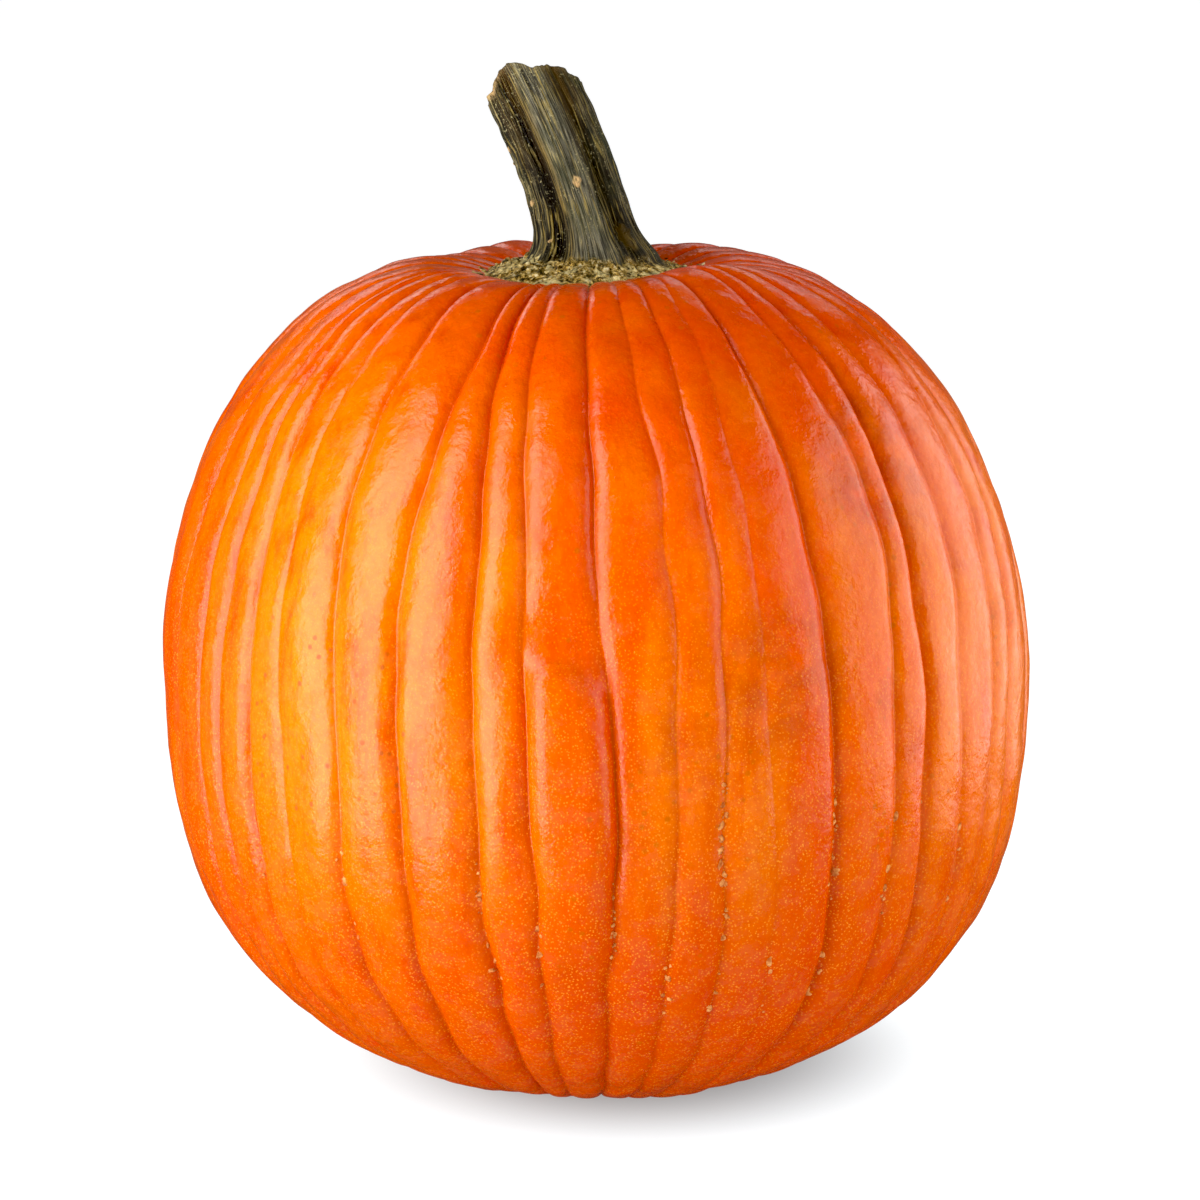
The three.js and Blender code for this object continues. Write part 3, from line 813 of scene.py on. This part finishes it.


# Dry stem bark: fibrous and matt, olive and grey-brown with tan streaks, corky at the foot, tan where
# it was cut; painted shade darkens its valleys and a painted highlight lies on one flank.
def dry_stem_bark():
    material, tree = new_material("dry_stem_bark")
    place = add_node(tree, "TexCoord").outputs["Object"]
    height = add_node(tree, "SeparateXYZ", inputs={0: place}).outputs["Z"]
    around, valley, flank, cork, cut, spot, petiole = (
        add_node(tree, "Attribute", {"attribute_name": name}).outputs["Fac"]
        for name in ("around", "valley", "flank", "cork", "cut", "spot", "petiole"))
    turn = add_node(tree, "Math", {"operation": "RADIANS"}, {0: around}).outputs[0]
    x = add_node(tree, "Math", {"operation": "SINE"}, {0: turn}).outputs[0]
    y = add_node(tree, "Math", {"operation": "COSINE"}, {0: turn}).outputs[0]
    z = add_node(tree, "Math", {"operation": "MULTIPLY"}, {
        0: height, 1: FIBRE_DRAW / (STEM_RADIUS * MM)}).outputs[0]
    fibre_place = add_node(tree, "CombineXYZ", inputs={0: x, 1: y, 2: z}).outputs[0]
    fibre_place = add_node(tree, "VectorMath", {"operation": "SCALE"},
                           {0: fibre_place, "Scale": STEM_RADIUS * MM}).outputs[0]
    # The fibres are 0.3 mm wide on the stem, and are drawn half as wide again to show.
    fibres = add_node(tree, "TexNoise", inputs={
        "Vector": fibre_place, "Scale": 1 / (0.46 * MM), "Detail": 2, "Roughness": 0.6}).outputs[0]
    bark = add_node(tree, "ValToRGB", inputs={0: fibres})
    set_stops(bark, (
        (0.36, "#0B0904"), (0.45, "#26231A"), (0.52, "#47432F"), (0.59, "#787052"), (0.67, "#BFAC72")))
    front, right, top = (
        add_node(tree, "MapRange", {"interpolation_type": "SMOOTHSTEP"}, {
            0: way, 1: start, 2: end}).outputs[0]
        for way, start, end in ((y, 0.78, 0.97), (x, 0.38, 0.72), (height, 305 * MM, 345 * MM)))
    skin = coated(tree, bark.outputs[0], (
        ((front,), 0.15, "#7C7762"),
        ((patches(tree, fibre_place, 0.6, 0.48, 0.6, 2), front), 0.55, "#9C967C"),
        ((right,), 0.62, "#1F1A0A"),
        ((patches(tree, place, 11, 0.45, 0.65),), 0.35, "#38401F"),
        ((patches(tree, fibre_place, 3.2, 0.52, 0.68, 3), top), 0.55, "#54401C"),
        # Painted shade: near black down the valleys.
        ((valley,), 0.88, "#120C04"),
        ((valley, top, patches(tree, fibre_place, 1.4, 0.4, 0.6)), 0.5, "#6E5018"),
        # Painted highlight: a pale tan streak down the lit flank left of the stem's middle.
        ((flank, patches(tree, fibre_place, 0.6, 0.46, 0.6)), 0.6, "#A98A3C"),
        ((patches(tree, fibre_place, 2.4, 0.55, 0.68, 3),), 0.45, "#100D06"),
        ((patches(tree, fibre_place, 0.55, 0.56, 0.64, 2), patches(tree, place, 14, 0.35, 0.55)),
         0.6, "#B29A50"),
        ((patches(tree, place, 0.8, 0.6, 0.7, 2), patches(tree, place, 9, 0.45, 0.6)), 0.6, "#C8BC88"),
        ((petiole,), 0.75, "#5E4A22"),
        ((spot, patches(tree, place, 1.1, 0.3, 0.5)), 0.9, "#D8B278"),
        ((cork,), 1.0, cork_colour(tree, place, 1.9)),
    ))
    pith = coated(tree, colour("#5C4A2C"), (
        ((patches(tree, place, 1.5, 0.35, 0.65, 4, 0.7),), 1.0, "#C9B184"),
    ))
    skin = coated(tree, skin, (((cut,), 1.0, pith),))
    grains = add_node(tree, "TexNoise", inputs={"Vector": place, "Scale": 1 / MM, "Detail": 3}).outputs[0]
    relief = add_node(tree, "Math", {"operation": "MULTIPLY_ADD"}, {0: fibres, 1: 2.0, 2: grains}).outputs[0]
    bump = add_node(tree, "Bump", inputs={"Height": relief, "Strength": 0.9, "Distance": 0.9 * MM})
    shader = add_node(tree, "BsdfPrincipled", inputs={
        "Base Color": skin, "Roughness": 0.7, "IOR": 1.38, "Normal": bump.outputs[0]})
    finish_material(tree, shader)
    return material


# Dry cork crumbs, torn: matt, every grain in its own tone.
def torn_cork():
    material, tree = new_material("torn_cork")
    place = add_node(tree, "TexCoord").outputs["Object"]
    shader = add_node(tree, "BsdfPrincipled", inputs={
        "Base Color": cork_colour(tree, place, 2.4), "Roughness": 0.85, "IOR": 1.5})
    finish_material(tree, shader)
    return material


# Scar cork of the skin, grown: dull, pinkish tan, paler in places.
def scar_cork():
    material, tree = new_material("scar_cork")
    place = add_node(tree, "TexCoord").outputs["Object"]
    tone = coated(tree, colour("#B2581C"), (((patches(tree, place, 1.6, 0.35, 0.65),), 1.0, "#F0A058"),))
    shader = add_node(tree, "BsdfPrincipled", inputs={"Base Color": tone, "Roughness": 0.75, "IOR": 1.4})
    finish_material(tree, shader)
    return material


# Pale studio floor: matt board lit from below, with a weaker glow in a patch under the fruit: a painted
# shadow.
def studio_board():
    material, tree = new_material("studio_board")
    place = add_node(tree, "TexCoord").outputs["Object"]
    away = add_node(tree, "VectorMath", {"operation": "DISTANCE"}, {
        0: place, 1: (FLOOR_GLOW_AND_SHADOW["x"] * MM, FLOOR_GLOW_AND_SHADOW["y"] * MM, 0)}).outputs["Value"]
    # Painted shadow: the glow is least near where the fruit stands and full farther out.
    glow_and_shadow = add_node(tree, "MapRange", {"interpolation_type": "SMOOTHSTEP"}, {
        0: away, 1: FLOOR_GLOW_AND_SHADOW["inner"] * MM, 2: FLOOR_GLOW_AND_SHADOW["outer"] * MM, 3: FLOOR_GLOW_AND_SHADOW["least"], 4: 1.0})
    shader = add_node(tree, "BsdfPrincipled", inputs={
        "Base Color": colour("#6E8C96"), "Roughness": 1.0, "Specular IOR Level": 0.0,
        "Emission Color": colour("#FFFFFF"), "Emission Strength": glow_and_shadow.outputs[0]})
    finish_material(tree, shader)
    return material


def make_floor(material):
    half, level = FLOOR["half"], FLOOR["level"]
    corners = [(-half, -half, level), (half, -half, level), (half, half, level), (-half, half, level)]
    return make_object("studio_floor", corners, [(0, 1, 2, 3)], material)


def make_camera():
    data = bpy.data.cameras.new("studio_camera")
    data.sensor_width = CAMERA["film"]
    data.lens = CAMERA["lens"]
    camera = bpy.data.objects.new("studio_camera", data)
    elevation = math.radians(CAMERA["elevation"])
    ahead = CAMERA["distance"] * math.cos(elevation)
    above = CAMERA["distance"] * math.sin(elevation)
    camera.location = (CAMERA["x"] * MM, -ahead * MM, (CAMERA["z"] + above) * MM)
    camera.rotation_euler = (math.pi / 2 - elevation, 0, 0)
    bpy.context.scene.collection.objects.link(camera)
    bpy.context.scene.camera = camera


# A soft panel that faces the fruit.
def make_panel(name, azimuth, distance, level, width, height, brightness):
    data = bpy.data.lights.new(name, "AREA")
    data.shape = "RECTANGLE"
    data.size = width
    data.size_y = height
    data.energy = brightness * math.pi * width * height
    lamp = bpy.data.objects.new(name, data)
    turn = math.radians(azimuth)
    middle = Vector((0, 0, min(level, 0.3)))
    lamp.location = (distance * math.sin(turn), -distance * math.cos(turn), level)
    lamp.rotation_euler = (lamp.location - middle).to_track_quat("Z", "Y").to_euler()
    lamp.visible_camera = False
    bpy.context.scene.collection.objects.link(lamp)
    return lamp


def make_light():
    world = bpy.data.worlds.new("studio_surround")
    world.use_nodes = True
    tree = world.node_tree
    tree.nodes.clear()
    direction = add_node(tree, "TexCoord").outputs["Generated"]
    back = add_node(tree, "SeparateXYZ", inputs={0: direction}).outputs["Y"]
    room = add_node(tree, "MapRange", {"interpolation_type": "SMOOTHSTEP"},
                    {0: back, 1: 0.84, 2: 0.98, 3: ROOM_FRONT, 4: ROOM_BACK})
    seen = add_node(tree, "LightPath").outputs["Is Camera Ray"]
    strength = add_node(tree, "Mix", inputs={0: seen, 2: room.outputs[0], 3: 1.0})
    surround = add_node(tree, "Background", inputs={
        "Color": colour("#FFFFFF"), "Strength": strength.outputs[0]})
    add_node(tree, "OutputWorld", inputs={"Surface": surround.outputs[0]})
    bpy.context.scene.world = world
    for name, panel in PANELS.items():
        make_panel(name, *panel)
    for name, panel in FILLS.items():
        make_panel(name, *panel).visible_glossy = False
    view = bpy.context.scene.view_settings
    view.view_transform = "Standard"
    view.use_curve_mapping = True
    view.curve_mapping.black_level = (DARKEST, DARKEST, DARKEST)


make_camera()
fruit = make_fruit(waxy_rind())
stem = make_stem(dry_stem_bark())
warts = make_warts(surface_of(fruit), scar_cork())
crumbs = make_crumbs(surface_of(fruit, stem), torn_cork())
for piece, slot in ((fruit, "rind"), (warts, "rind"), (stem, "stem_bark"), (crumbs, "stem_bark")):
    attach(piece, "root")
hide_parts("fruit")
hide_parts("stem")
floor = make_floor(studio_board())
floor.visible_glossy = False
floor.visible_shadow = False
make_light()
